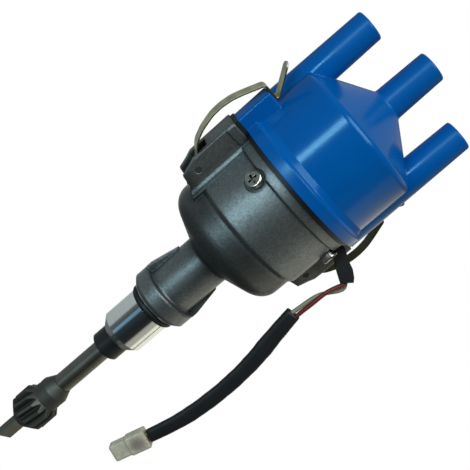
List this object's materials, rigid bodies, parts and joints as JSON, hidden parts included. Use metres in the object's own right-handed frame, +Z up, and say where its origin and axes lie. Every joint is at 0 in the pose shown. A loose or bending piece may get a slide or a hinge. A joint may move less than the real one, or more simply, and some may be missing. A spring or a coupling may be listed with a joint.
{
  "type": "ignition distributor",
  "caption": "Engine ignition distributor with a gear-driven shaft, centrifugal advance, magnetic trigger, clipped-on cap with high-tension towers and a short two-wire lead.",
  "frame": {"origin": "on the shaft axis, at the middle of the spigot that fits the engine", "axes": "+Z up the shaft axis from the drive gear to the cap; X through the two cap clips; the lead leaves between +X and -Y"},
  "size_m": [0.1076, 0.0756, 0.2689],
  "materials": {
    "cast_aluminium": "as-cast grey aluminium with a fine grain, machined bright on the spigot",
    "black_rubber": "semi-matt black rubber",
    "dark_bush": "dark oil-soaked sintered bush",
    "shaft_steel": "ground steel with a dark oiled finish",
    "gear_steel": "dark phosphated steel",
    "plated_steel": "zinc-plated sheet steel",
    "felt": "oiled wool felt",
    "black_moulding": "black moulded plastic",
    "brass": "plain brass",
    "magnet": "dark ferrite",
    "screw_zinc": "bright zinc-plated steel",
    "blue_cap": "glossy saturated blue moulded plastic",
    "carbon": "black carbon",
    "clip_steel": "yellow-grey passivated spring steel",
    "wire_red": "dark red insulation",
    "wire_white": "grey-white insulation",
    "sleeve_black": "matt black flat sleeving",
    "connector_nylon": "milky translucent nylon"
  },
  "bodies": {
    "distributor_body": {"housing": "cast_aluminium", "mount_o_ring": "black_rubber", "lower_bush": "dark_bush", "upper_bush": "dark_bush", "thrust_washer": "dark_bush", "base_plate": "plated_steel", "base_plate_screws": "screw_zinc", "screw_washers": "screw_zinc", "pickup_magnet": "magnet", "pickup_pole": "plated_steel", "pickup_coil": "black_moulding", "pickup_screw": "screw_zinc", "rim_gasket": "black_rubber", "distributor_cap": "blue_cap", "terminal_inserts": "brass", "brush_spring": "plated_steel", "clip_pins": "gear_steel", "lead_grommet": "black_rubber", "lead_wire_red": "wire_red", "lead_wire_white": "wire_white", "lead_sleeve": "sleeve_black", "connector_housing": "connector_nylon", "connector_pins": "brass"},
    "shaft": {"drive_shaft": "shaft_steel", "drive_gear": "gear_steel", "gear_pin": "gear_steel", "advance_plate": "plated_steel", "weight_pins": "shaft_steel", "cam_circlip": "plated_steel"},
    "advance_cam": {"cam_sleeve": "shaft_steel", "oil_felt": "felt", "reluctor": "gear_steel", "rotor_arm": "black_moulding", "rotor_contact": "brass"},
    "weight_a": {"flyweight_a": "gear_steel"},
    "weight_b": {"flyweight_b": "gear_steel"},
    "left_clip": {"clip_left": "clip_steel"},
    "right_clip": {"clip_right": "clip_steel"},
    "brush": {"carbon_brush": "carbon"}
  },
  "joints": [
    {"name": "shaft_spin", "type": "hinge", "parent": "distributor_body", "child": "shaft", "pos_m": [0, 0, 0], "axis": [0, 0, 1], "continuous": true},
    {"name": "advance_turn", "type": "hinge", "parent": "shaft", "child": "advance_cam", "pos_m": [0, 0, 0.0655], "axis": [0, 0, -1], "range_deg": [0, 12], "stiffness_Nm_per_rad": 0.08, "springref_deg": -11.46},
    {"name": "weight_a_swing", "type": "hinge", "parent": "shaft", "child": "weight_a", "pos_m": [0, 0.017, 0.062], "axis": [0, 0, 1], "range_deg": [0, 10.7]},
    {"name": "weight_b_swing", "type": "hinge", "parent": "shaft", "child": "weight_b", "pos_m": [0, -0.017, 0.062], "axis": [0, 0, 1], "range_deg": [0, 10.7]},
    {"name": "left_clip_swing", "type": "hinge", "parent": "distributor_body", "child": "left_clip", "pos_m": [-0.0392, 0, 0.0732], "axis": [0, -1, 0], "range_deg": [0, 100]},
    {"name": "right_clip_swing", "type": "hinge", "parent": "distributor_body", "child": "right_clip", "pos_m": [0.0392, 0, 0.0732], "axis": [0, 1, 0], "range_deg": [0, 100]},
    {"name": "brush_slide", "type": "slide", "parent": "distributor_body", "child": "brush", "axis": [0, 0, 1], "range_m": [0, 0.0015], "stiffness_N_per_m": 150, "springref_m": -0.012, "deforming": ["brush_spring"]}
  ],
  "couplings": [
    {"joint": "weight_a_swing", "follows": "advance_turn", "ratio": 0.8889},
    {"joint": "weight_b_swing", "follows": "advance_turn", "ratio": 0.8889}
  ]
}
